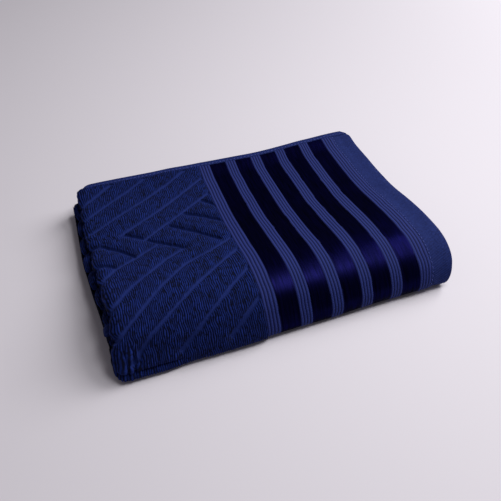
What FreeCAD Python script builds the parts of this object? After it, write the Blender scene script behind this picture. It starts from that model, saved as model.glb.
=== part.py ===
import FreeCAD, Part
import math
import os

import Sketcher

# A bath towel, 750 x 1400 mm of terry cloth, put away folded: in quarters along its length
# (four layers, with folds on the left and the open end hems on the right), then in thirds
# across its width (the tucked third first, over the back fold, then the flap over the front fold).
# Frame: millimetres, +Z up, origin at the middle of the underside. +X runs along the stack towards
# the end hem and the front fold lies at -Y. The flap turns about the front fold's centre line, and
# the front fold's cloth flattens as the flap opens.

DRIVING_SIZES = {
    "width": 350.0,
    "depth": 250.0,
    "shoulder_height": 46.0,
    "back_height": 33.0,
    "shoulder_run": 48.0,
    "slope_foot": 140.0,
    "layers": 12.0,
    "layer_gap": 0.35,
    "flap_setback": 5.0,
    "cross_fold_width": 14.0,
    "cross_fold_wall": 3.0,
    "cross_fold_round": 4.2,
    "inner_fold_round": 1.9,
    "centre_fold_width": 8.0,
    "centre_fold_round": 1.9,
    "hem_setback": 1.0,
    "back_fold_setback": 2.0,
    "terry_end": 143.0,
    "first_ribs": 18.0,
    "satin_width": 20.0,
    "rib_width": 12.8,
    "side_hem_width": 7.0,
    "side_hem_rise": 1.2,
    "thread_width": 0.9,
    "thread_rise": 0.5,
    "stitch_length": 3.2,
    "stitch_pitch": 5.0,
    "stitch_inset": 1.6,
}

LAYERS_IN_PANEL = 4
SATIN_BANDS = 5
OUTER, FIRST, THIRD, LAST = 0, 1, 3, 4
CLOCKWISE, ANTICLOCKWISE = -1, 1

doc = FreeCAD.newDocument("bath_towel")
sheet = doc.addObject("Spreadsheet::Sheet", "Sheet")
for row, (alias, size) in enumerate(DRIVING_SIZES.items(), start=1):
    sheet.set(f"A{row}", alias)
    sheet.set(f"B{row}", str(size))
    sheet.setAlias(f"B{row}", alias)
doc.recompute()


def size(expression):
    """The value of an expression in the sheet's aliases."""
    return float(sheet.evalExpression(expression))


def named(alias):
    """An alias as other objects' expressions write it."""
    return f"Sheet.{alias}"


WIDTH, DEPTH, LAYERS, GAP = named("width"), named("depth"), named("layers"), named("layer_gap")
SHOULDER, BACK = named("shoulder_height"), named("back_height")
RUN, FOOT = named("shoulder_run"), named("slope_foot")
FOLD_RADIUS = f"({SHOULDER} / 2)"
RUN_START = f"({FOLD_RADIUS} + {GAP})"
BACK_FOLD_AXIS = f"({DEPTH} - {named('back_fold_setback')} - 4 * {BACK} / {LAYERS})"
nodes = []


# ---------------------------------------------------------------- profiles, as seen from the end
# A profile is a ring of corners (distance from the front, height), each a pair of expressions.
# An arc replaces the straight edge that leaves a corner: (centre, centre height, radius, turn).


def levels(share, shift):
    """Heights of a layer's face over the shoulder and over the flat back part of the stack."""
    return (f"({SHOULDER} * {share} / {LAYERS} {shift})", f"({BACK} * {share} / {LAYERS} {shift})")


def run_profile(front, back, out_share, in_share, shifts):
    """A layer's straight run between two folds, from its outer face to its inner face."""
    out_front, out_back = levels(out_share, shifts[0])
    in_front, in_back = levels(in_share, shifts[1])
    corners = [
        (front, in_front),
        (front, out_front),
        (RUN, out_front),
        (FOOT, out_back),
        (back, out_back),
        (back, in_back),
        (FOOT, in_back),
        (RUN, in_front),
    ]
    return corners, {}


def shifts_down(cavity):
    """How far a layer's outer and inner faces lie from their levels when its face looks up.

    A cavity is larger by the gap on its outer side, and a solid smaller on its inner side."""
    return (f"+ {GAP}", "") if cavity else ("", f"+ {GAP}")


def flap_profile(outer, inner, cavity=False):
    """The flap. outer and inner count layers from the towel's face, which looks up here."""
    shares = (f"({LAYERS} - {outer})", f"({LAYERS} - {inner})")
    return run_profile(RUN_START, DEPTH, *shares, shifts_down(cavity))


def tucked_profile(outer, inner, cavity=False):
    """The tucked third, which lies between the bottom third and the flap."""
    shares = (f"({LAYERS} - 4 - {outer})", f"({LAYERS} - 4 - {inner})")
    return run_profile(RUN_START, BACK_FOLD_AXIS, *shares, shifts_down(cavity))


def base_profile(outer, inner, cavity=False):
    """The bottom third, whose face looks down at the floor."""
    shifts = (f"- {GAP}", "") if cavity else ("", f"- {GAP}")
    return run_profile(RUN_START, BACK_FOLD_AXIS, f"{outer}", f"{inner}", shifts)


def front_fold_profile(outer, inner):
    """Half a ring at the front that joins a layer of the flap to the same layer of the bottom third."""
    out_radius = f"({FOLD_RADIUS} * (1 - {outer} / 6))"
    in_radius = f"({FOLD_RADIUS} * (1 - {inner} / 6) + {GAP})"
    corners = [
        (FOLD_RADIUS, f"({FOLD_RADIUS} + {out_radius})"),
        (FOLD_RADIUS, f"({FOLD_RADIUS} - {out_radius})"),
        (FOLD_RADIUS, f"({FOLD_RADIUS} - {in_radius})"),
        (FOLD_RADIUS, f"({FOLD_RADIUS} + {in_radius})"),
    ]
    arcs = {
        0: (FOLD_RADIUS, FOLD_RADIUS, out_radius, ANTICLOCKWISE),
        2: (FOLD_RADIUS, FOLD_RADIUS, in_radius, CLOCKWISE),
    }
    return corners, arcs


def back_fold_profile(outer, inner):
    """Half a ring that joins a layer of the bottom third to the same layer of the tucked third."""
    middle = f"({BACK} * 4 / {LAYERS})"
    out_radius = f"({BACK} * (4 - {outer}) / {LAYERS})"
    in_radius = f"({BACK} * (4 - {inner}) / {LAYERS} + {GAP})"
    corners = [
        (BACK_FOLD_AXIS, f"({middle} - {out_radius})"),
        (BACK_FOLD_AXIS, f"({middle} + {out_radius})"),
        (BACK_FOLD_AXIS, f"({middle} + {in_radius})"),
        (BACK_FOLD_AXIS, f"({middle} - {in_radius})"),
    ]
    arcs = {
        0: (BACK_FOLD_AXIS, middle, out_radius, ANTICLOCKWISE),
        2: (BACK_FOLD_AXIS, middle, in_radius, CLOCKWISE),
    }
    return corners, arcs


# ---------------------------------------------------------------- sketches and bodies


def origin_plane(body, role):
    """One of a body's own origin planes."""
    return next(f for f in body.Origin.OriginFeatures if f.Role == role)


def bind(sketch, constraint, expression):
    """Adds a constraint and ties its value to the sheet."""
    index = sketch.addConstraint(constraint)
    sketch.setExpression(f"Constraints[{index}]", expression)


def draw_ring(sketch, corners, arcs):
    """Draws the corners' ring and returns (geometry, start point, end point) of each edge."""
    points = [FreeCAD.Vector(size(across), size(up), 0) for across, up in corners]
    edges = []
    for index, here in enumerate(points):
        there = points[(index + 1) % len(points)]
        if index not in arcs:
            edges.append((sketch.addGeometry(Part.LineSegment(here, there)), 1, 2))
            continue
        centre_across, centre_up, radius = (size(value) for value in arcs[index][:3])
        centre = FreeCAD.Vector(centre_across, centre_up, 0)
        start = math.atan2(here.y - centre.y, here.x - centre.x)
        end = math.atan2(there.y - centre.y, there.x - centre.x)
        clockwise = arcs[index][3] == CLOCKWISE
        first, last = (end, start) if clockwise else (start, end)
        circle = Part.Circle(centre, FreeCAD.Vector(0, 0, 1), radius)
        arc = Part.ArcOfCircle(circle, first, last)
        edges.append((sketch.addGeometry(arc), 2, 1) if clockwise else (sketch.addGeometry(arc), 1, 2))
    return edges


def hold_ring(sketch, corners, arcs, edges):
    """Constrains the ring: arcs by centre and radius, corners by their distances from the axes."""
    for index, (across, up) in enumerate(corners):
        before, after = edges[index - 1], edges[index]
        sketch.addConstraint(
            Sketcher.Constraint("Coincident", before[0], before[2], after[0], after[1])
        )
        on_arc = index in arcs or (index - 1) % len(corners) in arcs
        arc_index = index if index in arcs else (index - 1) % len(corners)
        keep_across = keep_up = True
        if on_arc:
            centre_across, centre_up = arcs[arc_index][:2]
            flat = abs(size(across) - size(centre_across)) > abs(size(up) - size(centre_up))
            keep_across, keep_up = not flat, flat
        if keep_across:
            limit = Sketcher.Constraint("DistanceX", -1, 1, after[0], after[1], size(across))
            bind(sketch, limit, across)
        if keep_up:
            limit = Sketcher.Constraint("DistanceY", -1, 1, after[0], after[1], size(up))
            bind(sketch, limit, up)
    for index, (across, up, radius, _) in arcs.items():
        geometry = edges[index][0]
        bind(sketch, Sketcher.Constraint("DistanceX", -1, 1, geometry, 3, size(across)), across)
        bind(sketch, Sketcher.Constraint("DistanceY", -1, 1, geometry, 3, size(up)), up)
        bind(sketch, Sketcher.Constraint("Radius", geometry, size(radius)), radius)


def profile_sketch(body, name, profile):
    """A sketch of a profile in the body's YZ plane: distance from the front, and height."""
    corners, arcs = profile
    sketch = body.newObject("Sketcher::SketchObject", name)
    sketch.AttachmentSupport = (origin_plane(body, "YZ_Plane"), [""])
    sketch.MapMode = "FlatFace"
    hold_ring(sketch, corners, arcs, draw_ring(sketch, corners, arcs))
    return sketch


def new_body(label, start):
    """A body whose own origin is at the front's lower left, moved to its start along X."""
    body = doc.addObject("PartDesign::Body", label)
    body.Label = label
    body.setExpression("Placement.Base.x", f"{start} - {WIDTH} / 2")
    body.setExpression("Placement.Base.y", f"-{DEPTH} / 2")
    nodes.append(body)
    return body


def pad_profile(body, profile, length):
    """Pads a profile along +X."""
    sketch = profile_sketch(body, f"{body.Label}_profile", profile)
    pad = body.newObject("PartDesign::Pad", f"{body.Label}_pad")
    pad.Profile = sketch
    pad.setExpression("Length", length)
    sketch.Visibility = False
    doc.recompute()
    return pad


def long_edges(shape, across):
    """Names of the edges that run along the fold in the plane X = across, but not its end edges."""
    found = []
    for number, edge in enumerate(shape.Edges, start=1):
        if any(abs(vertex.X - across) > 1e-6 for vertex in edge.Vertexes):
            continue
        if edge.BoundBox.YLength > 1e-6:
            found.append(f"Edge{number}")
    return found


def round_edges(body, pad, across, radius):
    """Rounds a fold where the cloth turns back, in the plane X = across of the body."""
    fillet = body.newObject("PartDesign::Fillet", f"{body.Label}_round")
    fillet.Base = (pad, long_edges(pad.Shape, across))
    fillet.setExpression("Radius", radius)
    doc.recompute()
    return fillet


def strip(label, profile, start, length):
    """A plain stretch of cloth: one profile along X."""
    pad_profile(new_body(label, start), profile, length)


def outer_cross_fold(label, profile, cavity, start):
    """The outer layer turning back at the left, hollow where the two inner layers turn inside it."""
    fold_width, wall = named("cross_fold_width"), named("cross_fold_wall")
    body = new_body(label, start)
    pad = pad_profile(body, profile, fold_width)
    solid = round_edges(body, pad, 0.0, named("cross_fold_round"))
    before = solid.Shape.Volume
    sketch = profile_sketch(body, f"{label}_cavity", cavity)
    sketch.setExpression("AttachmentOffset.Base.z", fold_width)
    doc.recompute()
    pocket = body.newObject("PartDesign::Pocket", f"{label}_pocket")
    pocket.Profile = sketch
    pocket.setExpression("Length", f"{fold_width} - {wall}")
    sketch.Visibility = False
    doc.recompute()
    if pocket.Shape.Volume > before * 0.9:
        raise RuntimeError(f"{label}: the pocket cut nothing")


def inner_cross_fold(label, profile, start):
    """The two inner layers turning back inside the outer cross fold."""
    fold_width, wall = named("cross_fold_width"), named("cross_fold_wall")
    body = new_body(label, f"({start} + {wall} + {GAP})")
    pad = pad_profile(body, profile, f"{fold_width} - {wall} - {GAP}")
    round_edges(body, pad, 0.0, named("inner_fold_round"))


def centre_fold(label, profile, end):
    """The towel's middle, where the third layer turns back into the fourth at the right."""
    fold_width = named("centre_fold_width")
    body = new_body(label, f"({end} - {fold_width})")
    pad = pad_profile(body, profile, fold_width)
    round_edges(body, pad, size(fold_width), named("centre_fold_round"))


# ---------------------------------------------------------------- the three thirds


def panel(name, profile_of, start, end, keep_first=True):
    """One third of the folded towel: its four layers, two folds at the left and one at the right."""
    inside = f"({start} + {named('cross_fold_width')})"
    hem_end = f"({end} - {named('hem_setback')})"
    fold_start = f"({end} - {named('centre_fold_width')})"
    ends = {1: end, 2: hem_end, 3: fold_start, 4: fold_start}
    for layer in range(1, LAYERS_IN_PANEL + 1):
        if layer > 1 or keep_first:
            profile = profile_of(layer - 1, layer)
            strip(f"{name}_layer_{layer}", profile, inside, f"{ends[layer]} - {inside}")
    whole, hollow = profile_of(OUTER, LAST), profile_of(FIRST, THIRD, cavity=True)
    outer_cross_fold(f"{name}_outer_cross_fold", whole, hollow, start)
    inner_cross_fold(f"{name}_inner_cross_fold", profile_of(FIRST, THIRD), start)
    centre_fold(f"{name}_centre_fold", profile_of(2, LAST), end)


def flap_face(start, end):
    """The flap's top layer, woven in zones along X: terry, ribs, satin bands and the end hem."""
    face = flap_profile(OUTER, FIRST)
    edge = f"({start} + {named('cross_fold_width')})"
    terry_end = named("terry_end")
    strip("flap_terry_field", face, edge, f"{terry_end} - {edge}")
    strip("flap_first_ribs", face, terry_end, named("first_ribs"))
    here = f"({terry_end} + {named('first_ribs')})"
    for band in range(1, SATIN_BANDS + 1):
        strip(f"flap_satin_band_{band}", face, here, named("satin_width"))
        here = f"({here} + {named('satin_width')})"
        strip(f"flap_ribs_{band}", face, here, named("rib_width"))
        here = f"({here} + {named('rib_width')})"
    strip("flap_end_hem", face, here, f"{end} - {here}")
    return here


def nested_folds(name, profile_of):
    """Four nested half rings between two thirds, each inner one starting a little further in."""
    for layer in range(1, LAYERS_IN_PANEL + 1):
        start = f"({named('cross_fold_round')} * {layer - 1} / 4)"
        strip(f"{name}_{layer}", profile_of(layer - 1, layer), start, f"{WIDTH} - {start}")


def side_hem(start, end):
    """The narrow hem along the flap's free edge, a strip that lies on its top layer."""
    hem_width, rise = named("side_hem_width"), named("side_hem_rise")
    corners = [
        (f"({DEPTH} - {hem_width})", BACK),
        (f"({DEPTH} - {hem_width})", f"({BACK} + {rise})"),
        (DEPTH, f"({BACK} + {rise})"),
        (DEPTH, BACK),
    ]
    inside = f"({start} + {named('cross_fold_width')})"
    strip("flap_side_hem", (corners, {}), inside, f"{end} - {inside}")


# ---------------------------------------------------------------- sewing threads


def stitch():
    """One stitch, lying along +X with its underside at height 0."""
    length, breadth, rise = (size(named(n)) for n in ("stitch_length", "thread_width", "thread_rise"))
    corner = FreeCAD.Vector(-length / 2, -breadth / 2, 0)
    return Part.makeBox(length, breadth, rise, corner)


def thread(label, places):
    """A row of stitches as one node. Each place is (x, distance from the front, height, turns)."""
    row = []
    for x, across, up, rotation in places:
        piece = stitch()
        place = FreeCAD.Vector(x - size(WIDTH) / 2, across - size(DEPTH) / 2, up)
        piece.Placement = FreeCAD.Placement(place, rotation)
        row.append(piece)
    feature = doc.addObject("Part::Feature", label)
    feature.Label = label
    feature.Shape = Part.makeCompound(row)
    nodes.append(feature)


def side_hem_thread(start, end):
    """Stitches along the side hem, in the row that holds it down."""
    pitch, inset = size(named("stitch_pitch")), size(named("stitch_inset"))
    across = size(DEPTH) - size(named("side_hem_width")) + inset
    height = size(BACK) + size(named("side_hem_rise"))
    first = size(start) + size(named("cross_fold_width")) + pitch / 2
    count = int((size(end) - first) / pitch)
    flat = FreeCAD.Rotation()
    thread("side_hem_thread", [(first + n * pitch, across, height, flat) for n in range(count)])


def end_hem_thread(line):
    """Stitches along the end hem, over the flap's top: shoulder, slope and flat part."""
    pitch, inset = size(named("stitch_pitch")), size(named("stitch_inset"))
    x = size(line) + inset
    run, foot, depth = size(RUN), size(FOOT), size(DEPTH) - size(named("side_hem_width"))
    high, low = size(SHOULDER), size(BACK)
    stretches = [
        (size(RUN_START), high, run, high),
        (run, high, foot, low),
        (foot, low, depth, low),
    ]
    along_y = FreeCAD.Rotation(FreeCAD.Vector(0, 0, 1), 90)
    places = []
    for near, near_height, far, far_height in stretches:
        slope = math.atan2(far_height - near_height, far - near)
        tilt = FreeCAD.Rotation(FreeCAD.Vector(1, 0, 0), math.degrees(slope))
        length = math.hypot(far - near, far_height - near_height)
        count = int(length / pitch)
        for n in range(count):
            share = (n + 0.5) / count
            across = near + share * (far - near)
            up = near_height + share * (far_height - near_height)
            places.append((x, across, up, tilt * along_y))
    thread("end_hem_thread", places)


# ---------------------------------------------------------------- build and write

FLAP_START = named("flap_setback")
FLAP_END = f"({WIDTH} - {named('hem_setback')})"

panel("base", base_profile, "0", WIDTH)
nested_folds("front_fold", front_fold_profile)
nested_folds("back_fold", back_fold_profile)
panel("tucked", tucked_profile, "0", WIDTH)
panel("flap", flap_profile, FLAP_START, FLAP_END, keep_first=False)
hem_line = flap_face(FLAP_START, FLAP_END)
side_hem(FLAP_START, FLAP_END)
side_hem_thread(FLAP_START, FLAP_END)
end_hem_thread(hem_line)
doc.recompute()

for item in doc.Objects:
    if "Invalid" in item.State or "Error" in item.State:
        raise RuntimeError(f"{item.Label} failed: {item.State}")
for node in nodes:
    if node.Shape.isNull() or not node.Shape.isValid():
        raise RuntimeError(f"{node.Label} has no valid shape")

os.makedirs("parts", exist_ok=True)
for node in nodes:
    node.Shape.exportStep(f"parts/{node.Label}.step")
    print(node.Label, round(node.Shape.Volume), len(node.Shape.Solids))
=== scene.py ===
"""A folded navy bath towel with a carved terry pile and a border of satin bands.

The towel is one cloth. Its length is folded in quarters, so that four layers lie on each other,
and its width is then folded in thirds. Every piece of cloth is laid out by the same two maps:
lengthwise() takes a place along the towel's length to the four layers, and widthwise() takes
a place along its width round the thirds. Lengths are millimetres until a mesh is made.
"""

import math

import bmesh
import bpy
import numpy as np
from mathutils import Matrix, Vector


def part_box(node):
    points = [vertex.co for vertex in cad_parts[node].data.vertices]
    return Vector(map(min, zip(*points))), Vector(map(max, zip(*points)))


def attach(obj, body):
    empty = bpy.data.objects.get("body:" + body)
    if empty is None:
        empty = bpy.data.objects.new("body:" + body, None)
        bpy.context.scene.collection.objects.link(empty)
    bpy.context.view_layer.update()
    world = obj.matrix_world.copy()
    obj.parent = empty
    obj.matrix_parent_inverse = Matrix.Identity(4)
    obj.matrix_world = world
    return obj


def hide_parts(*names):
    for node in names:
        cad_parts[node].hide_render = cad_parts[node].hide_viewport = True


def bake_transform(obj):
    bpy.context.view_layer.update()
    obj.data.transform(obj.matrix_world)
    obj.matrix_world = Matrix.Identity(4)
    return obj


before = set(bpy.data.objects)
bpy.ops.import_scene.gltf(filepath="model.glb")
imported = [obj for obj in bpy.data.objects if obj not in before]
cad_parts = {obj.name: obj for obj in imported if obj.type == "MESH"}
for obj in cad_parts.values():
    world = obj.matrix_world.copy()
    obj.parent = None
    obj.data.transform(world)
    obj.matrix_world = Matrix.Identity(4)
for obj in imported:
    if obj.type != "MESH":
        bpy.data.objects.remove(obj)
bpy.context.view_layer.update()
MM = 0.001


def mm_box(node):
    """Lowest and highest corner of a CAD node, in millimetres."""
    low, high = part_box(node)
    return np.array(low) / MM, np.array(high) / MM


# ------------------------------------------------------------------ the folded towel's sizes

# How far the pile reaches over the first ribs' CAD box.
PILE_OVER_RIBS = 4.0

FOLD_LOW, FOLD_HIGH = mm_box("front_fold_1")
FRONT = FOLD_LOW[1]
SHOULDER = FOLD_HIGH[2]
LEFT = mm_box("flap_outer_cross_fold")[0][0]
RIGHT = mm_box("flap_end_hem")[1][0]
DEPTH = mm_box("flap_layer_4")[1][1] - FRONT
BACK_TURN = mm_box("back_fold_1")[0][1] - FRONT
BANDS = [[side[0] for side in mm_box(f"flap_satin_band_{k}")] for k in range(1, 6)]
PILE_END = mm_box("flap_first_ribs")[0][0] + PILE_OVER_RIBS
HEM_START = mm_box("flap_end_hem")[0][0]

PANEL_LAYERS = 4
STACK_LAYERS = 12

# The outline from the side: the top's points (distance behind the front, height), then the nose:
# a quarter ellipse down from the shoulder, and another back to the floor.
TOP_LINE = ((45, 46.0), (100, 38.0), (145, 31.5), (180, 30.4), (220, 31.3), (250, 36.0))
BROW_REACH = 45.0
NOSE_HEIGHT = 12.5
CHIN_REACH = 10.0
WRAP_FROM = 30.0

# How far the cross folds bulge past the line where their layers turn, and how far in some of them lie.
SIDE_FOLD_REACH = 9.0
SMALL_FOLD_REACH = 4.2
CENTRE_FOLD_SETBACK = 1.0
SECOND_HEM_SETBACK = 4.0

# The cloth's thickness as a share of one layer, how far cloth runs on under an edge or past a fold,
# and how far past the centre fold the piece of the inner layers starts.
CLOTH = 0.94
EDGE_LIP = 12.0
HEM_LIP = 42.0
THIRD_LIP = 15.0
THIRD_START = 13.0

# The pile: its columns of loops, the strips that swell between furrows, and the furrows themselves.
LOOP_PITCH = 2.0
LOOP_LENGTH = 2.0
LOOP_WARP = 0.9
LOOP_JITTER = 0.4
LOOP_BREAK = 0.4
LOOP_UNEVEN = 0.18
PILE_RISE = 0.7
LOOP_RISE = 1.0
STRIP_SWELL = 1.7
SWELL_FROM = 1.2
SWELL_TO = 8.5
FULL_RISE = PILE_RISE + LOOP_RISE + STRIP_SWELL
FURROW_WIDTH = 4.2
FURROW_DEPTH = 2.1
FURROW_WOBBLE = 0.5
LOOPS_CARVED = 0.75

# The woven border's relief, and the gap that all cloth keeps from the floor.
FLOOR_GAP = 0.15
RIB_PITCH = 3.2
RIB_RISE = 0.45
RIB_STRAY = 0.35
BORDER_RISE = 0.15
SATIN_CROWN = 0.25

# The carved lines of the pile that lies on top, each as points (x, distance from the flap's free edge).
# Elsewhere the herringbone repeats at an even pitch.
FURROWS_ON_TOP = (
    ((-180, 43), (-126, 3), (-116, -5)),
    ((-178, 65), (-88, 3), (-76, -5)),
    ((-164, 83), (-100, 43), (-42, 5), (-26, -5)),
    ((-137, 97), (-88, 67), (-24, 21)),
    ((-114, 113), (-70, 82), (-24, 51)),
    ((-41, 67), (-24, 84)),
    ((-65, 84), (-40, 101), (-24, 115)),
    ((-85, 100), (-60, 122), (-42, 143)),
    ((-137, 97), (-113, 116), (-80, 144)),
    ((-174, 123), (-173, 113), (-168, 108.5), (-160, 110), (-140, 128), (-129, 142)),
    ((-173, 155), (-172, 147), (-166, 144), (-157, 148), (-151, 153)),
    ((-178, 179), (-151, 154), (-130, 143), (-103, 126)),
    ((-175, 217), (-140, 185), (-120, 171), (-100, 155), (-79, 144)),
    ((-178, 250), (-116, 197), (-84, 171), (-52, 157), (-24, 141)),
    ((-155, 262), (-134, 241), (-90, 211), (-24, 163)),
    ((-110, 262), (-60, 224), (-24, 196)),
    ((-62, 262), (-24, 230)),
)
FURROW_PITCH = 30.0
FURROW_SLOPE = 0.69
HERRINGBONE_WIDTH = 112.0


# ------------------------------------------------------------------ small helpers


def smoothstep(x, start, end):
    """0 before start, 1 after end, smooth between them. It falls instead where end is below start."""
    t = np.clip((x - start) / (end - start), 0, 1)
    return t * t * (3 - 2 * t)


def curve_through(points, at):
    """A smooth curve through the points that never overshoots them, level at both ends."""
    x, y = np.array(points, float).T
    run = np.diff(x)
    rise = np.diff(y) / run
    slope = np.zeros_like(y)
    product = rise[:-1] * rise[1:]
    total = rise[:-1] + rise[1:]
    slope[1:-1] = np.where(product > 0, 2 * product / np.where(product > 0, total, 1), 0)
    k = np.clip(np.searchsorted(x, at) - 1, 0, len(run) - 1)
    t = np.clip((at - x[k]) / run[k], 0, 1)
    start = y[k] * (1 + 2 * t) * (1 - t) ** 2 + run[k] * slope[k] * t * (1 - t) ** 2
    end = y[k + 1] * t**2 * (3 - 2 * t) + run[k] * slope[k + 1] * t**2 * (t - 1)
    return start + end


def wander(x, y, size, seed):
    """Smooth noise between -1 and 1 whose bumps are about size across.

    It changes faster along a coordinate that comes in multiplied."""
    table = np.random.default_rng(seed).uniform(-1, 1, (128, 128))
    gx, gy = x / size, y / size
    ix, iy = np.floor(gx).astype(int), np.floor(gy).astype(int)
    fx, fy = smoothstep(gx - ix, 0, 1), smoothstep(gy - iy, 0, 1)
    low = table[ix % 128, iy % 128] * (1 - fx) + table[(ix + 1) % 128, iy % 128] * fx
    high = table[ix % 128, (iy + 1) % 128] * (1 - fx) + table[(ix + 1) % 128, (iy + 1) % 128] * fx
    return low * (1 - fy) + high * fy


def steps(start, end, step):
    """Even places from start to end, about step apart."""
    count = max(1, round(abs(end - start) / step))
    return np.linspace(start, end, count + 1)


# ------------------------------------------------------------------ lengthwise: quarters

OUTER_TURN_AT = LEFT + SIDE_FOLD_REACH
CENTRE_TURN_AT = RIGHT - SMALL_FOLD_REACH - CENTRE_FOLD_SETBACK
WIDE_TURN_RUN = 26.0
SMALL_TURN_RUN = 9.0
LEGS = np.cumsum(
    [
        RIGHT - OUTER_TURN_AT,
        WIDE_TURN_RUN,
        CENTRE_TURN_AT - OUTER_TURN_AT,
        SMALL_TURN_RUN,
        CENTRE_TURN_AT - OUTER_TURN_AT,
        SMALL_TURN_RUN,
        RIGHT - SECOND_HEM_SETBACK - OUTER_TURN_AT,
    ]
)
FACE_END, OUTER_TURN_END, FOURTH_END, CENTRE_TURN_END, THIRD_END, INNER_TURN_END, SECOND_END = LEGS


def lengthwise(p, n):
    """(x, depth in layers) at p along the towel's length and n through the cloth, from its face.

    The face hem is at p = 0. The first layer runs left, the fourth right, the third left and
    the second right, so the second hem is at p = SECOND_END."""
    outer = np.pi * np.clip((p - FACE_END) / (OUTER_TURN_END - FACE_END), 0, 1)
    centre = np.pi * np.clip((p - FOURTH_END) / (CENTRE_TURN_END - FOURTH_END), 0, 1)
    inner = np.pi * np.clip((p - THIRD_END) / (INNER_TURN_END - THIRD_END), 0, 1)
    where = [p < FACE_END, p < OUTER_TURN_END, p < FOURTH_END, p < CENTRE_TURN_END, p < THIRD_END]
    where += [p < INNER_TURN_END, p >= INNER_TURN_END]
    x = np.select(
        where,
        [
            RIGHT - p,
            OUTER_TURN_AT - SIDE_FOLD_REACH * (1 - n / 2) * np.sin(outer),
            OUTER_TURN_AT + (p - OUTER_TURN_END),
            CENTRE_TURN_AT + SMALL_FOLD_REACH * (1 - n) * np.sin(centre),
            CENTRE_TURN_AT - (p - CENTRE_TURN_END),
            OUTER_TURN_AT - SMALL_FOLD_REACH * n * np.sin(inner),
            OUTER_TURN_AT + (p - INNER_TURN_END),
        ],
    )
    depth = np.select(
        where,
        [
            n,
            2 - (2 - n) * np.cos(outer),
            4 - n,
            3 + (1 - n) * np.cos(centre),
            2 + n,
            2 + n * np.cos(inner),
            2 - n,
        ],
    )
    return x, depth


# ------------------------------------------------------------------ widthwise: thirds


def top_height(u):
    """Height of the towel's top at u behind its front."""
    brow = np.sqrt(np.clip(1 - ((BROW_REACH - u) / BROW_REACH) ** 2, 0, 1))
    return np.where(
        u < BROW_REACH, NOSE_HEIGHT + (SHOULDER - NOSE_HEIGHT) * brow, curve_through(TOP_LINE, u)
    )


def wrap_line():
    """The outer line round the front, from the top at WRAP_FROM to the floor at WRAP_FROM."""
    first = math.asin((BROW_REACH - WRAP_FROM) / BROW_REACH)
    brow = np.linspace(first, math.pi / 2, 60)
    chin = np.linspace(0, math.pi / 2, 30)[1:]
    u = np.concatenate(
        [BROW_REACH * (1 - np.sin(brow)), CHIN_REACH * (1 - np.cos(chin)), [WRAP_FROM]]
    )
    z = np.concatenate(
        [NOSE_HEIGHT + (SHOULDER - NOSE_HEIGHT) * np.cos(brow), NOSE_HEIGHT * (1 - np.sin(chin)), [0]]
    )
    along = np.concatenate([[0], np.cumsum(np.hypot(np.diff(u), np.diff(z)))])
    return along, u, z


WRAP_ALONG, WRAP_U, WRAP_Z = wrap_line()
WRAP_CENTRE = float(top_height(np.array(WRAP_FROM))) / 2
FLAP_END = DEPTH - WRAP_FROM
WRAP_END = FLAP_END + WRAP_ALONG[-1]
BASE_END = WRAP_END + BACK_TURN - WRAP_FROM
BACK_TURN_RUN = 31.4
BACK_TURN_END = BASE_END + BACK_TURN_RUN
TUCKED_GAP = 1.0
TUCKED_END = BACK_TURN_END + BACK_TURN - WRAP_FROM - TUCKED_GAP


def widthwise(s, depth):
    """(distance behind the front, height) at s along the towel's width and a depth in layers.

    s is 0 at the flap's free edge, and runs over the flap, round the front, back under
    the towel, round the back fold and forward over the tucked third to the other edge."""
    share = depth / STACK_LAYERS
    flap_u = DEPTH - s
    shrink = 1 - 2 * share
    wrap = np.clip(s - FLAP_END, 0, WRAP_ALONG[-1])
    wrap_u = WRAP_FROM + shrink * (np.interp(wrap, WRAP_ALONG, WRAP_U) - WRAP_FROM)
    wrap_z = WRAP_CENTRE + shrink * (np.interp(wrap, WRAP_ALONG, WRAP_Z) - WRAP_CENTRE)
    base_u = WRAP_FROM + s - WRAP_END
    turn = np.pi * np.clip((s - BASE_END) / (BACK_TURN_END - BASE_END), 0, 1)
    back = float(top_height(np.array(BACK_TURN)))
    radius = back * (PANEL_LAYERS / STACK_LAYERS - share)
    tucked_u = BACK_TURN - (s - BACK_TURN_END)
    where = [s < FLAP_END, s < WRAP_END, s < BASE_END, s < BACK_TURN_END, s >= BACK_TURN_END]
    u = np.select(where, [flap_u, wrap_u, base_u, BACK_TURN + radius * np.sin(turn), tucked_u])
    z = np.select(
        where,
        [
            top_height(flap_u) * (1 - share),
            wrap_z,
            top_height(base_u) * share,
            back * PANEL_LAYERS / STACK_LAYERS - radius * np.cos(turn),
            top_height(tucked_u) * (2 * PANEL_LAYERS / STACK_LAYERS - share),
        ],
    )
    return u, z


# ------------------------------------------------------------------ how the cloth strays

# At the left: how far the side folds lie out, how the flap's tapers in, and how far the back bulges.
FLAP_FOLD_OUT = 2.5
FLAP_FOLD_TAPER = 9.5
LEFT_CORNER_CUT = 7.0
LOWER_FOLD_OUT = 3.0
BACK_BULGE = 10.5
LEFT_WAVE = 1.5

# At the right: how far the hems lie out, and how far they draw in at the corners and underneath.
HEM_OUT = 4.0
RIGHT_CORNER_CUT = 9.0
FRONT_HEM_CUT = 6.0
LOWER_HEM_IN = 2.0
RIGHT_WAVE = 1.4

# At the front: how far the lowest cloth pushes forward, its lip at the left, and the corner's puckers.
FOOT_AT_LEFT = 8.4
FOOT_IN_MIDDLE = 4.8
FOOT_AT_RIGHT = 1.5
LIP_OUT = 2.6
LIP_GROOVE = 3.2
LIP_GROOVE_HEIGHT = 9.5
LIP_GROOVE_WIDTH = 1.8
KNUCKLE_AT = -157.0
KNUCKLE_REACH = 9.0
KNUCKLE_PITCH = 7.0
KNUCKLE_RISE = 1.8
FRONT_RIPPLE = 0.8

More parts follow.
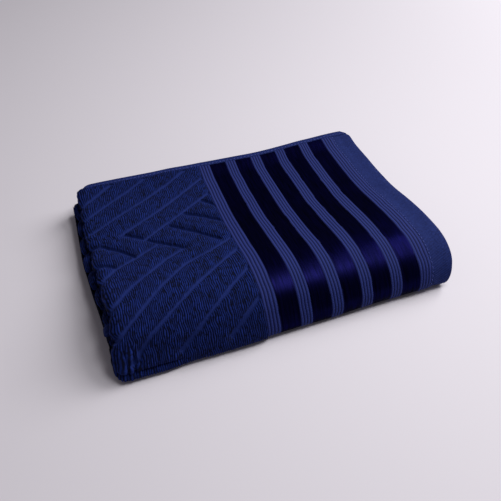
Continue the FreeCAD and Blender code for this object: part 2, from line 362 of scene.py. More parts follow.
# All over: the flap's lift and skew, low waves in height, and the steps between the layers' free edges.
LIFT_OVER_HEMS = 4.5
FLAP_SKEW = 4.0
BROAD_WAVE = 0.8
SMALL_WAVE = 0.35
UNDERSIDE_CALM = 0.8
EDGE_STEP = 0.8
EDGE_WAVE = 0.9


def left_shift(x, s, depth):
    """How far the side folds at the left lie off their straight line, along x."""
    flap = FLAP_FOLD_TAPER * smoothstep(s, 60, DEPTH) - FLAP_FOLD_OUT
    flap = flap + LEFT_CORNER_CUT * smoothstep(s, 12, 0) ** 2
    towards_back = smoothstep(s, WRAP_END, BASE_END - 60)
    towards_back = towards_back * smoothstep(s, TUCKED_END, BACK_TURN_END + 60)
    lower = -LOWER_FOLD_OUT - BACK_BULGE * towards_back**0.8
    under_flap = smoothstep(s, FLAP_END, WRAP_END)
    wave = LEFT_WAVE * wander(s, depth * 9, size=34, seed=11)
    return smoothstep(x, -70, LEFT) * (flap * (1 - under_flap) + lower * under_flap + wave)


def right_shift(x, s, depth):
    """How far the hems at the right lie off their straight line, along x."""
    corners = RIGHT_CORNER_CUT * smoothstep(s, 14, 0) ** 2
    corners = corners + FRONT_HEM_CUT * smoothstep(s, FLAP_END + 15, FLAP_END + 65)
    lower = LOWER_HEM_IN * smoothstep(s, FLAP_END, WRAP_END)
    wave = RIGHT_WAVE * wander(s, depth * 31, size=46, seed=12)
    return smoothstep(x, 130, RIGHT) * (HEM_OUT - corners - lower + wave)


def lift(x, u, s):
    """Extra height of the flap, which lies higher over the hems at the right."""
    over_hems = smoothstep(x, 40, 165) * smoothstep(u, 30, 100)
    return LIFT_OVER_HEMS * over_hems * smoothstep(s, FLAP_END + 10, FLAP_END - 60)


def foot(x, u, z):
    """How far the lowest cloth at the front pushes forward: most at the left."""
    push = FOOT_AT_LEFT - (FOOT_AT_LEFT - FOOT_IN_MIDDLE) * smoothstep(x, -80, 20)
    push = push - (FOOT_IN_MIDDLE - FOOT_AT_RIGHT) * smoothstep(x, 20, 120)
    groove = np.exp(-(((z - LIP_GROOVE_HEIGHT) / LIP_GROOVE_WIDTH) ** 2))
    lip = (LIP_OUT * smoothstep(z, 8, 5) - LIP_GROOVE * groove) * smoothstep(x, -98, -128)
    return (push * smoothstep(z, 27, 2) + lip) * smoothstep(u, 28, 8)


def knuckle(x, u, z):
    """Short upright puckers where the side fold turns round the front."""
    near = np.exp(-(((x - KNUCKLE_AT) / KNUCKLE_REACH) ** 2))
    near = near * smoothstep(z, 3, 9) * smoothstep(z, 32, 18) * smoothstep(u, 22, 4)
    return KNUCKLE_RISE * np.cos((x - KNUCKLE_AT) * 2 * np.pi / KNUCKLE_PITCH + 0.04 * z) * near


def waves(x, u, z, s):
    """Low waves in the layers' height, which fade at the floor and are small under the towel."""
    underneath = smoothstep(s, FLAP_END + 30, FLAP_END + 60) * smoothstep(s, BASE_END, BASE_END - 60)
    broad = BROAD_WAVE * wander(x, u, size=55, seed=13)
    small = SMALL_WAVE * wander(x, u, size=21, seed=14)
    return (1 - UNDERSIDE_CALM * underneath) * smoothstep(z, 2, 20) * (broad + small)


def free_edge_shift(x, s, depth):
    """How far each layer's free long edge lies inside its straight line."""
    layer = np.floor(np.clip(depth, 0, 3.99))
    between_turns = smoothstep(x, OUTER_TURN_AT, OUTER_TURN_AT + 30)
    between_turns = between_turns * smoothstep(x, CENTRE_TURN_AT, CENTRE_TURN_AT - 25)
    amount = EDGE_STEP + EDGE_WAVE * wander(x, layer * 37, size=70, seed=16)
    return smoothstep(s, 24, 0) * amount * np.where(layer > 0, between_turns, 0)


def place(p, n, s):
    """Places of the cloth's points in millimetres, as an array with x, y and z last."""
    x, depth = lengthwise(p, n)
    u, z = widthwise(s, depth)
    z = z + waves(x, u, z, s) + lift(x, u, s)
    forward = FRONT_RIPPLE * wander(x, z * 4, size=38, seed=15) * smoothstep(u, 40, 4)
    forward = forward + foot(x, u, z) + knuckle(x, u, z)
    skew = FLAP_SKEW * smoothstep(x, 20, 170) * smoothstep(s, 60, 0)
    y = FRONT + u - forward + skew - free_edge_shift(x, s, depth)
    x = x + left_shift(x, s, depth) + right_shift(x, s, depth)
    return np.stack([x, y, np.maximum(z, FLOOR_GAP)], axis=-1)


# ------------------------------------------------------------------ relief of the weave


def distance_to_line(x, y, line):
    """Distance of each point to a line through the given points."""
    nearest = np.full(x.shape, 1e9)
    for (ax, ay), (bx, by) in zip(line[:-1], line[1:]):
        length = (bx - ax) ** 2 + (by - ay) ** 2
        t = np.clip(((x - ax) * (bx - ax) + (y - ay) * (by - ay)) / length, 0, 1)
        nearest = np.minimum(nearest, np.hypot(x - ax - t * (bx - ax), y - ay - t * (by - ay)))
    return nearest


def furrows_on_top(x, s):
    """Distance to the nearest carved line on the flap and round the front."""
    nearest = np.full(x.shape, 1e9)
    for line in FURROWS_ON_TOP:
        nearest = np.minimum(nearest, distance_to_line(x, s, line))
    return nearest


def furrows_elsewhere(x, s):
    """Distance to the nearest carved line where the herringbone simply repeats."""
    column = np.floor((x - LEFT) / HERRINGBONE_WIDTH)
    inside = x - LEFT - column * HERRINGBONE_WIDTH
    slope = np.where(column % 2 == 0, FURROW_SLOPE, -FURROW_SLOPE)
    phase = (s + slope * inside) / FURROW_PITCH
    offset = np.abs(phase - np.round(phase)) * FURROW_PITCH
    return offset / math.hypot(1, FURROW_SLOPE)


def loops(x, s):
    """Height share of the pile's loops, which lie in columns along the towel's width."""
    warped = x + LOOP_WARP * wander(x, s, size=7, seed=21)
    warped = warped + LOOP_JITTER * wander(x, s, size=3.4, seed=26)
    column = np.floor(warped / LOOP_PITCH)
    across = np.abs(np.sin(np.pi * warped / LOOP_PITCH))
    joined = smoothstep(wander(column * 7.31, s, size=LOOP_LENGTH, seed=22), -0.9, -0.2)
    tall = 1 - LOOP_UNEVEN * (1 - wander(column * 3.17, s, size=4.0, seed=24))
    return across**0.9 * (1 - LOOP_BREAK * (1 - joined)) * tall


def terry_relief(x, s, furrows):
    """Rise in millimetres, with the loop share that the material reads for painted shade between the
    loops, and the furrow share.
    """
    wobble = wander(x, s, size=9, seed=25) + wander(x, s, size=2.5, seed=27)
    strayed = furrows + FURROW_WOBBLE * wobble
    furrow = smoothstep(strayed, FURROW_WIDTH * 0.66, FURROW_WIDTH * 0.34)
    pile = loops(x, s)
    rise = PILE_RISE + LOOP_RISE * pile * (1 - LOOPS_CARVED * furrow) - FURROW_DEPTH * furrow
    swell = STRIP_SWELL * smoothstep(furrows, SWELL_FROM, SWELL_TO)
    return rise + swell, {"loop_shade": pile, "furrow": furrow}


def rib_groups():
    """Left and right edge of each group of ribs, from the pile to the end hem."""
    starts = [PILE_END] + [right for left, right in BANDS]
    ends = [left for left, right in BANDS] + [HEM_START]
    return list(zip(starts, ends))


def border_relief(x, s):
    """Rise in millimetres of the ribs and satin bands, with the shares that the material reads; a low
    rib share gives painted shade between the ribs.
    """
    rib = np.zeros_like(x)
    satin = np.zeros_like(x)
    x = x + RIB_STRAY * wander(x, s, size=11, seed=33)
    for left, right in rib_groups():
        count = round((right - left) / RIB_PITCH)
        phase = (x - left) / (right - left) * count
        inside = (x >= left) & (x <= right)
        rib = np.where(inside, 0.5 - 0.5 * np.cos(2 * np.pi * phase), rib)
    for left, right in BANDS:
        inside = smoothstep(x, left - 0.3, left + 0.3) * smoothstep(x, right + 0.3, right - 0.3)
        satin = np.maximum(satin, inside)
    rise = BORDER_RISE + RIB_RISE * rib * (1 - satin) + SATIN_CROWN * satin
    return rise, {"rib": rib, "satin": satin}


HEM_MIDDLE = 160.0


def hem_relief(x, s):
    """The end hem is flat, with a soft hollow along its middle and a faint pucker at its seam."""
    hollow = -0.5 * np.exp(-(((x - HEM_MIDDLE) / 5) ** 2))
    pucker = 0.12 * np.cos(2 * np.pi * s / 9) * np.exp(-(((x - HEM_START) / 5) ** 2))
    return hollow + pucker + 0.35 * wander(x, s, size=14, seed=31), {}


# ------------------------------------------------------------------ meshes


def add_object(name, data):
    """An object for a mesh, a light or a camera, put in the scene."""
    item = bpy.data.objects.new(name, data)
    bpy.context.scene.collection.objects.link(item)
    return item


def normals(points):
    """Unit normals of a grid of places, away from the towel's inside."""
    down = np.gradient(points, axis=0)
    across = np.gradient(points, axis=1)
    normal = np.cross(across, down)
    return normal / np.maximum(np.linalg.norm(normal, axis=-1, keepdims=True), 1e-9)


def grid_mesh(name, points, shares, material):
    """A mesh from a grid of places in millimetres, with a number per point for each share."""
    rows, columns = points.shape[:2]
    index = np.arange(rows * columns).reshape(rows, columns)
    corners = [index[:-1, :-1], index[:-1, 1:], index[1:, 1:], index[1:, :-1]]
    faces = np.stack(corners, axis=-1).reshape(-1, 4)
    mesh = bpy.data.meshes.new(name)
    mesh.from_pydata((points.reshape(-1, 3) * MM).tolist(), [], faces.tolist())
    for share, values in shares.items():
        numbers = mesh.attributes.new(share, "FLOAT", "POINT")
        numbers.data.foreach_set("value", np.ascontiguousarray(values, np.float32).ravel())
    shell = bmesh.new()
    shell.from_mesh(mesh)
    bmesh.ops.remove_doubles(shell, verts=shell.verts, dist=2e-6)
    shell.to_mesh(mesh)
    shell.free()
    mesh.shade_smooth()
    mesh.materials.append(material)
    return add_object(name, mesh)


def cloth(name, along, across, relief, material):
    """A piece of cloth. along lists (p, n). across lists (s, least n), because edges turn under.

    The relief fades out where the cloth turns away from its face."""
    p, n = np.array(along, float).T
    s, least = np.array(across, float).T
    p, s_grid = np.meshgrid(p, s)
    n = np.maximum(n[None, :], least[:, None])
    points = place(p, n, s_grid)
    shares = {}
    if relief is not None:
        x, _ = lengthwise(p, n)
        rise, shares = relief(x, s_grid)
        fade = smoothstep(n, 0.12, 0.0)
        points = points + normals(points) * (rise * fade)[..., None]
        points[..., 2] = np.maximum(points[..., 2], FLOOR_GAP)
    return grid_mesh(name, points, shares, material)


def facing(p_values):
    """Points along the towel's length on the cloth's face."""
    return [(p, 0.0) for p in p_values]


def closed_rows(s_values):
    """Rows of a closed slab."""
    return [(s_values[0], CLOTH)] + [(s, 0.0) for s in s_values] + [(s_values[-1], CLOTH)]


def turned_edge(s_values, at_start):
    """Rows that run to a free edge and turn under it, at the start or the end of s_values."""
    sign = 1 if at_start else -1
    edge = s_values[0] if at_start else s_values[-1]
    section = ((EDGE_LIP, CLOTH), (1.2, CLOTH), (0.3, 0.8), (0.0, 0.5), (0.3, 0.2))
    rows = [(edge + sign * inside, n) for inside, n in section]
    flat = [(s, 0.0) for s in s_values if abs(s - edge) > 0.9]
    return rows + flat if at_start else flat + rows[::-1]


# ------------------------------------------------------------------ materials


def linear(red, green, blue):
    """A colour picked on an 8-bit screen, as Blender's linear light."""
    parts = []
    for value in (red, green, blue):
        share = value / 255
        parts.append(share / 12.92 if share <= 0.04045 else ((share + 0.055) / 1.055) ** 2.4)
    return (*parts, 1.0)


def new_material(name, roughness, sheen, sheen_colour):
    """A Principled material with its node tree and shader."""
    material = bpy.data.materials.new(name)
    material.use_nodes = True
    nodes = material.node_tree.nodes
    shader = nodes["Principled BSDF"]
    shader.inputs["Roughness"].default_value = roughness
    shader.inputs["Specular IOR Level"].default_value = 0.12
    shader.inputs["Sheen Weight"].default_value = sheen
    shader.inputs["Sheen Roughness"].default_value = 0.45
    shader.inputs["Sheen Tint"].default_value = sheen_colour
    return material, nodes, material.node_tree.links, shader


def mixed(nodes, links, share, first, second):
    """The output of a node that mixes two colours by a share, a number or another node's output."""
    mix = nodes.new("ShaderNodeMix")
    mix.data_type = "RGBA"
    if isinstance(share, float):
        mix.inputs["Factor"].default_value = share
    else:
        links.new(share, mix.inputs["Factor"])
    for socket, colour in (("A", first), ("B", second)):
        side = next(i for i in mix.inputs if i.name == socket and i.type == "RGBA")
        if isinstance(colour, tuple):
            side.default_value = colour
        else:
            links.new(colour, side)
    return next(o for o in mix.outputs if o.type == "RGBA")


def attribute(nodes, name):
    """A number that the mesh carries at each point."""
    node = nodes.new("ShaderNodeAttribute")
    node.attribute_name = name
    return node.outputs["Fac"]


def noise(nodes, links, scale, stretch=(1, 1, 1)):
    """Noise in object space, stretched along an axis where its factor is below 1."""
    coordinates = nodes.new("ShaderNodeTexCoord")
    mapping = nodes.new("ShaderNodeMapping")
    mapping.inputs["Scale"].default_value = stretch
    links.new(coordinates.outputs["Object"], mapping.inputs["Vector"])
    texture = nodes.new("ShaderNodeTexNoise")
    texture.inputs["Scale"].default_value = scale
    texture.inputs["Detail"].default_value = 2.0
    links.new(mapping.outputs["Vector"], texture.inputs["Vector"])
    return texture.outputs["Fac"]


def ramp(nodes, links, value, low, high):
    """value stretched so that low becomes 0 and high becomes 1."""
    node = nodes.new("ShaderNodeMapRange")
    node.inputs["From Min"].default_value = low
    node.inputs["From Max"].default_value = high
    links.new(value, node.inputs["Value"])
    return node.outputs["Result"]


def bumped(nodes, links, shader, height, distance, strength):
    """Gives the shader a bump of that depth in metres."""
    bump = nodes.new("ShaderNodeBump")
    bump.inputs["Distance"].default_value = distance
    bump.inputs["Strength"].default_value = strength
    links.new(height, bump.inputs["Height"])
    links.new(bump.outputs["Normal"], shader.inputs["Normal"])


def stripes(nodes, links, direction, pitch):
    """Fine even lines across an axis, for threads, from 0 to 1."""
    coordinates = nodes.new("ShaderNodeTexCoord")
    wave = nodes.new("ShaderNodeTexWave")
    wave.bands_direction = direction
    wave.inputs["Scale"].default_value = 2 * math.pi / 20 / pitch
    wave.inputs["Distortion"].default_value = 0.6
    links.new(coordinates.outputs["Object"], wave.inputs["Vector"])
    return wave.outputs["Fac"]


BLUE_SHEEN = linear(70, 100, 230)


def terry_material():
    """Looped pile: dark with painted shade between the loops, lighter on their tops and in the carved
    furrows.
    """
    material, nodes, links, shader = new_material("terry_pile", 0.95, 0.06, BLUE_SHEEN)
    # Painted shade: the loop share darkens the pile's colour low between the loops.
    loop_shade = ramp(nodes, links, attribute(nodes, "loop_shade"), 0.36, 0.86)
    pile = mixed(nodes, links, loop_shade, linear(1, 3, 18), linear(23, 43, 116))
    patch = ramp(nodes, links, noise(nodes, links, 28), 0.3, 0.7)
    patched = mixed(nodes, links, patch, linear(10, 19, 64), pile)
    faintly_patched = mixed(nodes, links, 0.8, patched, pile)
    furrow = attribute(nodes, "furrow")
    colour = mixed(nodes, links, furrow, faintly_patched, linear(25, 39, 97))
    links.new(colour, shader.inputs["Base Color"])
    bumped(nodes, links, shader, noise(nodes, links, 1400, (1, 0.4, 1)), 0.0006, 0.8)
    return material


def border_material():
    """Ribs of plain weave with painted shade in the dark lines between them."""
    material, nodes, links, shader = new_material("ribbed_weave", 0.8, 0.08, BLUE_SHEEN)
    # Painted shade: the rib share darkens the grooves between the ribs.
    rib = ramp(nodes, links, attribute(nodes, "rib"), 0.15, 0.6)
    colour = mixed(nodes, links, rib, linear(7, 13, 56), linear(36, 47, 108))
    links.new(colour, shader.inputs["Base Color"])
    bumped(nodes, links, shader, stripes(nodes, links, "Y", 0.0009), 0.0002, 0.6)
    return material


def satin_material():
    """Glossy dark bands whose floats run across them."""
    material, nodes, links, shader = new_material("satin_band", 0.36, 0.0, linear(60, 60, 160))
    shader.inputs["Metallic"].default_value = 0.85
    shader.inputs["Specular Tint"].default_value = linear(64, 58, 170)
    streak = ramp(nodes, links, noise(nodes, links, 900, (1, 0.05, 0.05)), 0.3, 0.7)
    colour = mixed(nodes, links, streak, linear(4, 5, 25), linear(11, 10, 50))
    links.new(colour, shader.inputs["Base Color"])
    bumped(nodes, links, shader, noise(nodes, links, 1000, (1, 0.04, 0.04)), 0.0002, 0.3)
    return material


def hem_material():
    """Flat, close weave with a fine diagonal."""
    material, nodes, links, shader = new_material("flat_weave_hem", 0.85, 0.06, BLUE_SHEEN)
    patch = ramp(nodes, links, noise(nodes, links, 60), 0.3, 0.7)
    grain = ramp(nodes, links, noise(nodes, links, 520), 0.35, 0.65)
    worn = mixed(nodes, links, patch, linear(24, 38, 95), linear(31, 46, 107))
    woven = mixed(nodes, links, grain, linear(19, 31, 82), worn)
    twill = stripes(nodes, links, "DIAGONAL", 0.0013)
    colour = mixed(nodes, links, ramp(nodes, links, twill, -1.2, 0.7), linear(10, 17, 54), woven)
    links.new(colour, shader.inputs["Base Color"])
    bumped(nodes, links, shader, twill, 0.0003, 0.8)
    return material


def thread_material():
    """Twisted sewing thread, a little lighter than the cloth."""
    material, nodes, links, shader = new_material("sewing_thread", 0.6, 0.2, linear(120, 140, 230))
    twist = stripes(nodes, links, "DIAGONAL", 0.0005)
    colour = mixed(nodes, links, twist, linear(52, 62, 130), linear(78, 88, 160))
    links.new(colour, shader.inputs["Base Color"])
    bumped(nodes, links, shader, twist, 0.0001, 0.6)
    return material


TERRY = terry_material()
RIBS = border_material()
SATIN = satin_material()
HEM = hem_material()
THREAD = thread_material()


# ------------------------------------------------------------------ baking the pieces' transforms


def across_front_fold(piece):
    """Bakes the piece's transform into its mesh."""
    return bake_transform(piece)


# ------------------------------------------------------------------ pieces

# The pieces of the flap end a little past the wrap, and the other pieces start there with an overlap.
# The flap's mesh is fine as far as the wrap can be seen.
FLAP_RUN = WRAP_END + 5.0
STACK_RUN = TUCKED_END - FLAP_RUN
OVERLAP = 1.5
SEEN_WRAP = 78.0

# Mesh steps for the pile: across its columns of loops, and along them as rows.
FINE = 0.56
FINE_ROWS = 0.86
MIDDLE = 1.0
MIDDLE_ROWS = 1.4

# Where the face's zones meet along the towel's length, and how much of it each inner piece takes.
FACE_HALF_TURN = (FACE_END + OUTER_TURN_END) / 2
PILE_P = RIGHT - PILE_END
HEM_P = RIGHT - HEM_START
INNER_FACE_RUN = CENTRE_TURN_END + THIRD_LIP - FACE_HALF_TURN
INNER_LAYERS_RUN = SECOND_END - CENTRE_TURN_END - THIRD_START


def flap_run(step):
    """Places from the flap's free edge round the front to just under the towel."""
    seen_end = FLAP_END + SEEN_WRAP
    fine = steps(0, seen_end, step)
    under = steps(seen_end, FLAP_RUN, step * 2.5)[1:]
    return np.concatenate([fine, under])


def stack_run(base_step, turn_step, tucked_step):
    """Places along the bottom third, the back fold and the tucked third."""
    base = steps(FLAP_RUN - OVERLAP, BASE_END, base_step)
    turn = steps(BASE_END, BACK_TURN_END, turn_step)[1:]
    tucked = steps(BACK_TURN_END, TUCKED_END, tucked_step)[1:]
    return np.concatenate([base, turn, tucked])


def hem_columns(step):
    """The face hem: a lip under it, round its edge and over its top."""
    lip = [(p, CLOTH) for p in steps(HEM_LIP, 1.4, 6)]
    edge = [(0.5, 0.82), (0.1, 0.62), (0.0, 0.45), (0.2, 0.2), (0.8, 0.05)]
    return lip + edge + facing(steps(1.6, HEM_P, step))


def inner_face_columns(step):
    """The fourth layer's face, from the middle of the outer turn to a lip on the third layer."""
    turn = steps(FACE_HALF_TURN, OUTER_TURN_END, 1.0)
    fourth = steps(OUTER_TURN_END, FOURTH_END, step)[1:]
    centre = steps(FOURTH_END, CENTRE_TURN_END, 0.9)[1:]
    lip = steps(CENTRE_TURN_END, CENTRE_TURN_END + THIRD_LIP, 5)[1:]
    return facing(np.concatenate([turn, fourth, centre, lip]))


def inner_layer_columns():
    """The third and second layers as a slab: along the face side, round the hem and back."""
    third = steps(CENTRE_TURN_END + THIRD_START, THIRD_END, 8)
    turn = steps(THIRD_END, INNER_TURN_END, 1.5)[1:]
    second = steps(INNER_TURN_END, SECOND_END - 1, 8)[1:]
    face = np.concatenate([third, turn, second])
    near, far = 1 - CLOTH, CLOTH
    edge = [(SECOND_END - 0.3, 0.2), (SECOND_END, 0.5), (SECOND_END - 0.3, 0.8)]
    start = [(face[0], 0.5)]
    return start + [(p, near) for p in face] + edge + [(p, far) for p in face[::-1]] + start


def top_terry(x, s):
    """The pile on the flap, with its own furrows, and none over the woven edge."""
    rise, shares = terry_relief(x, s, furrows_on_top(x, s))
    edge = smoothstep(s, 5.0, 8.0) * smoothstep(x, PILE_END + 0.2, PILE_END - 1.2)
    under = FULL_RISE * smoothstep(s, FLAP_END + 40, WRAP_END)
    return (rise - under) * edge, shares


def plain_terry(x, s):
    """The pile elsewhere."""
    rise, shares = terry_relief(x, s, furrows_elsewhere(x, s))
    return rise - FULL_RISE, shares


def border_columns(step):
    """From the end hem over the satin bands and ribs to the pile."""
    return facing(steps(HEM_P, PILE_P, step))


def split_satin(piece):
    """Gives the faces inside the satin bands the satin's own material."""
    piece.data.materials.append(SATIN)
    satin = [item.value for item in piece.data.attributes["satin"].data]
    for face in piece.data.polygons:
        if sum(satin[corner] for corner in face.vertices) > 2:
            face.material_index = 1


def declare(piece, side, other_side, slot_name, rests_on, *nodes):
    """Hides the CAD nodes that the piece stands for. Its finish and its flat sides in millimetres are
    given but not used.
    """
    if nodes:
        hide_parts(*nodes)


def flap_terry():
    """The carved pile over the flap and round the front."""
    columns = facing(steps(PILE_P, FACE_HALF_TURN, FINE))
    rows = turned_edge(flap_run(FINE_ROWS), True)
    piece = cloth("flap_terry", columns, rows, top_terry, TERRY)
    across_front_fold(piece)
    declare(
        piece, FACE_HALF_TURN - PILE_P, FLAP_RUN, "terry_pile", ["tucked_terry"],
        "flap_terry_field", "front_fold_1",
    )


def flap_border():
    """The satin bands and ribs over the flap and round the front."""
    rows = turned_edge(flap_run(step=1.6), True)
    piece = cloth("flap_border", border_columns(step=0.64), rows, border_relief, RIBS)
    split_satin(piece)
    across_front_fold(piece)
    nodes = [f"flap_{part}_{k}" for part in ("ribs", "satin_band") for k in range(1, 6)]
    declare(
        piece, PILE_P - HEM_P, FLAP_RUN, "satin_band", ["tucked_border"],
        "flap_first_ribs", *nodes,
    )


def flap_hem():
    """The end hem over the flap and round the front."""
    rows = turned_edge(flap_run(step=1.5), True)
    piece = cloth("flap_hem", hem_columns(step=1.2), rows, hem_relief, HEM)
    across_front_fold(piece)
    declare(piece, HEM_P + HEM_LIP, FLAP_RUN, "flat_weave_hem", ["tucked_hem"], "flap_end_hem")


def flap_inner_face():
    """The flap's underside, which shows when it is open."""
    rows = turned_edge(flap_run(MIDDLE_ROWS), True)
    piece = cloth("flap_inner_face", inner_face_columns(MIDDLE), rows, plain_terry, TERRY)
    across_front_fold(piece)
    declare(
        piece, FLAP_RUN, INNER_FACE_RUN, "terry_pile", ["tucked_terry"],
        "flap_layer_4", "flap_outer_cross_fold", "flap_centre_fold", "front_fold_4",
    )


def flap_inner_layers():
    """The flap's two middle layers."""
    rows = closed_rows(flap_run(step=3.0))
    piece = cloth("flap_inner_layers", inner_layer_columns(), rows, None, TERRY)
    across_front_fold(piece)
    declare(
        piece, FLAP_RUN, INNER_LAYERS_RUN, "terry_pile", ["flap_inner_face"],
        "flap_layer_2", "flap_layer_3", "flap_inner_cross_fold", "front_fold_2", "front_fold_3",
    )


def tucked_faces():
    """The pile, border and end hem under the towel, round the back and over the tucked third."""
    rows = turned_edge(stack_run(base_step=3.0, turn_step=0.9, tucked_step=MIDDLE_ROWS), False)
    columns = facing(steps(PILE_P, FACE_HALF_TURN, MIDDLE))
    terry = cloth("tucked_terry", columns, rows, plain_terry, TERRY)
    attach(terry, "stack")
    declare(
        terry, FACE_HALF_TURN - PILE_P, STACK_RUN, "terry_pile", ["tucked_inner_layers"],
        "base_layer_1", "back_fold_1", "tucked_layer_1",
    )
    border = cloth("tucked_border", border_columns(step=0.8), rows, border_relief, RIBS)
    split_satin(border)
    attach(border, "stack")
    declare(border, PILE_P - HEM_P, STACK_RUN, "satin_band", ["tucked_inner_layers"])
    hem = cloth("tucked_hem", hem_columns(step=1.6), rows, hem_relief, HEM)
    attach(hem, "stack")
    declare(hem, HEM_P + HEM_LIP, STACK_RUN, "flat_weave_hem", ["tucked_inner_layers"])


def tucked_inner_face():
    """The fourth layer of the bottom third, the back fold and the tucked third."""
    rows = turned_edge(stack_run(base_step=4.0, turn_step=1.5, tucked_step=4.0), False)
    piece = cloth("tucked_inner_face", inner_face_columns(step=7.0), rows, None, TERRY)
    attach(piece, "stack")
    declare(
        piece, STACK_RUN, INNER_FACE_RUN, "terry_pile", ["tucked_terry"],
        "base_layer_4", "base_outer_cross_fold", "base_centre_fold", "back_fold_4",
        "tucked_layer_4", "tucked_outer_cross_fold", "tucked_centre_fold",
    )


def tucked_inner_layers():
    """The two middle layers of the bottom third, the back fold and the tucked third."""
    rows = closed_rows(stack_run(base_step=4.0, turn_step=1.5, tucked_step=4.0))
    piece = cloth("tucked_inner_layers", inner_layer_columns(), rows, None, TERRY)
    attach(piece, "stack")
    declare(
        piece, STACK_RUN, INNER_LAYERS_RUN, "terry_pile", ["tucked_inner_face"],
        "base_layer_2", "base_layer_3", "base_inner_cross_fold", "back_fold_2", "back_fold_3",
        "tucked_layer_2", "tucked_layer_3", "tucked_inner_cross_fold",
    )


# ------------------------------------------------------------------ sewn hems

SIDE_HEM_WIDTH = 7.0
SIDE_HEM_LIFT = 0.3
SIDE_HEM_START = 1.2
SIDE_SEAM_IN = 5.2
END_SEAM_IN = 1.2

# One stitch: its size, how it arches and sinks in, how flat it is, and the steps of its mesh.
STITCH_LENGTH = 3.0
STITCH_PITCH = 4.6
STITCH_WIDTH = 0.8
STITCH_ARCH = 0.25
STITCH_SINK = 0.2
STITCH_FLATNESS = 0.7
STITCH_SPANS = 6
STITCH_SIDES = 7

# How far to each side the cloth is sampled to find its directions.
PROBE = 0.4


def side_hem(name, edge, inward, step):
    """The narrow hem along a long edge of the first layer. inward is the sign of s away from the edge.

    Its section's points are (distance from the edge, place through the cloth), over the hem and
    back under it."""
    top = -SIDE_HEM_LIFT
    across = [(SIDE_HEM_WIDTH + 0.3, 0.05), (SIDE_HEM_WIDTH, -0.1), (SIDE_HEM_WIDTH - 0.6, top)]
    across += [(4.2, top - 0.04), (2.0, top - 0.02), (0.4, top + 0.02)]
    across += [(-0.5, -0.05), (-0.9, 0.35), (-0.6, 0.75), (0.3, 0.96), (SIDE_HEM_WIDTH, 0.97)]
    p, row = np.meshgrid(steps(SIDE_HEM_START, FACE_HALF_TURN, step), np.arange(len(across)))
    distance, n = np.array(across).T
    s = edge + inward * distance[row]
    points = place(p, n[row], s)
    if inward > 0:
        points = points[::-1]
    return grid_mesh(name, points, {}, HEM)


def surface_frames(p, n, s):
    """Places on the cloth, with the directions along its length, along its width and outward."""
    along = place(p + PROBE, n, s) - place(p - PROBE, n, s)
    across = place(p, n, s + PROBE) - place(p, n, s - PROBE)
    out = np.cross(along, across)
    unit = [v / np.linalg.norm(v, axis=-1, keepdims=True) for v in (along, across, out)]
    return place(p, n, s), *unit


def stitch_places(centre, run, side, out, raised):
    """Rings of places along one stitch, in metres. It arches, and thins towards both ends."""
    places = []
    for i in range(STITCH_SPANS + 1):
        t = i / STITCH_SPANS
        swell = math.sin(math.pi * (0.06 + 0.88 * t))
        height = raised + STITCH_ARCH * swell - STITCH_SINK
        middle = centre + run * (t - 0.5) * STITCH_LENGTH + out * height
        radius = STITCH_WIDTH / 2 * math.sqrt(swell)
        for j in range(STITCH_SIDES):
            turn = 2 * math.pi * j / STITCH_SIDES
            offset = side * math.cos(turn) + out * STITCH_FLATNESS * math.sin(turn)
            places.append((middle + offset * radius) * MM)
    return places


def stitch_faces(first):
    """The faces of one stitch whose points start at first, with a cap at each end."""
    spans, sides = STITCH_SPANS, STITCH_SIDES
    faces = []
    for i in range(spans):
        for j in range(sides):
            a, b = first + i * sides + j, first + i * sides + (j + 1) % sides
            faces.append((a, b, b + sides, a + sides))
    faces.append(tuple(first + j for j in reversed(range(sides))))
    faces.append(tuple(first + spans * sides + j for j in range(sides)))
    return faces


def stitches(name, p, n, s, lengthways, raised):
    """A row of sewn stitches centred on the given places, lengthways or across the towel."""
    centres, along, across, out = surface_frames(p, n, s)
    run, side = (along, across) if lengthways else (across, along)
    verts, faces = [], []
    for k in range(len(centres)):
        faces += stitch_faces(len(verts))
        verts += stitch_places(centres[k], run[k], side[k], out[k], raised)
    mesh = bpy.data.meshes.new(name)
    mesh.from_pydata(verts, [], faces)
    mesh.shade_smooth()
    mesh.materials.append(THREAD)
    piece = add_object(name, mesh)
    return piece


def side_hems():
    """The sewn hems along the flap's and the tucked third's long edges, and the flap's stitches."""
    length = FACE_HALF_TURN - SIDE_HEM_START
    width = 2 * SIDE_HEM_WIDTH + 3
    flap = side_hem("flap_side_hem_cloth", 0.0, 1, 2.0)
    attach(flap, "top_flap")
    seam = np.arange(4.0, FACE_HALF_TURN - 3, STITCH_PITCH)
    on_hem = np.full_like(seam, -SIDE_HEM_LIFT)
    row = stitches("side_hem_stitches", seam, on_hem, np.full_like(seam, SIDE_SEAM_IN), True, 0.1)
    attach(row, "top_flap")
    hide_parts("side_hem_thread")
    declare(flap, width, length, "flat_weave_hem", ["flap_terry"], "flap_side_hem")
    tucked = side_hem("tucked_side_hem_cloth", TUCKED_END, -1, 3.0)
    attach(tucked, "stack")
    declare(tucked, width, length, "flat_weave_hem", ["tucked_terry"])


def end_hem_seam():
    """The row of stitches beside the ribs, over the flap and round the front."""
    seam = np.arange(9.0, WRAP_END - 22, STITCH_PITCH)
    beside_ribs = np.full_like(seam, HEM_P - END_SEAM_IN)
    row = stitches("end_hem_stitches", beside_ribs, np.zeros_like(seam), seam, False, 0.15)
    across_front_fold(row)
    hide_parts("end_hem_thread")


# ------------------------------------------------------------------ light, floor and camera

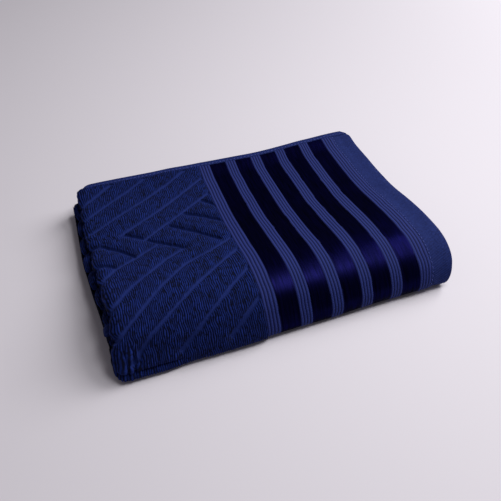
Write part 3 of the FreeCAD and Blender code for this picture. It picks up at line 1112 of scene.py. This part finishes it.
# Places here are in metres, as Blender has them, and angles in degrees.
FLOOR_REACH = 6.0
CAMERA_PLACE = (-0.1432, -0.4152, 0.4101)
CAMERA_TILT = 46.4
CAMERA_TURN = -18.9
CAMERA_LENS = 38.08


def add_floor():
    """A plain pale floor that runs to the horizon."""
    mesh = bpy.data.meshes.new("floor")
    sides = ((-1, -1), (1, -1), (1, 1), (-1, 1))
    corners = [(x * FLOOR_REACH, y * FLOOR_REACH, 0) for x, y in sides]
    mesh.from_pydata(corners, [], [(0, 1, 2, 3)])
    material = bpy.data.materials.new("floor")
    material.use_nodes = True
    shader = material.node_tree.nodes["Principled BSDF"]
    shader.inputs["Base Color"].default_value = linear(215, 210, 217)
    shader.inputs["Roughness"].default_value = 0.9
    mesh.materials.append(material)
    add_object("floor", mesh)


def add_light(name, place_at, aim_at, power, size):
    """A square soft white light."""
    light = bpy.data.lights.new(name, "AREA")
    light.energy = power
    light.size = size
    lamp = add_object(name, light)
    lamp.location = place_at
    lamp.rotation_euler = (Vector(aim_at) - Vector(place_at)).to_track_quat("-Z", "Y").to_euler()


def add_world():
    """Even pale light from all round."""
    world = bpy.data.worlds.new("studio")
    world.use_nodes = True
    background = world.node_tree.nodes["Background"]
    background.inputs["Color"].default_value = linear(222, 217, 225)
    background.inputs["Strength"].default_value = 0.19
    bpy.context.scene.world = world


def add_camera():
    """The camera, at the photograph's place: above and in front, a little left of the middle."""
    camera = bpy.data.cameras.new("camera")
    camera.sensor_width = 36.0
    camera.lens = CAMERA_LENS
    eye = add_object("camera", camera)
    eye.location = CAMERA_PLACE
    eye.rotation_euler = (math.radians(CAMERA_TILT), 0, math.radians(CAMERA_TURN))
    bpy.context.scene.camera = eye


add_floor()
add_world()
add_light("key", (1.85, 0.45, 1.55), (0, 0, 0.02), power=63, size=1.6)
add_light("overhead", (0.25, -0.15, 0.85), (0.22, -0.12, 0), power=3.0, size=0.3)
add_camera()
bpy.context.scene.view_settings.view_transform = "Standard"
flap_terry()
flap_border()
flap_hem()
flap_inner_face()
flap_inner_layers()
tucked_faces()
tucked_inner_face()
tucked_inner_layers()
side_hems()
end_hem_seam()
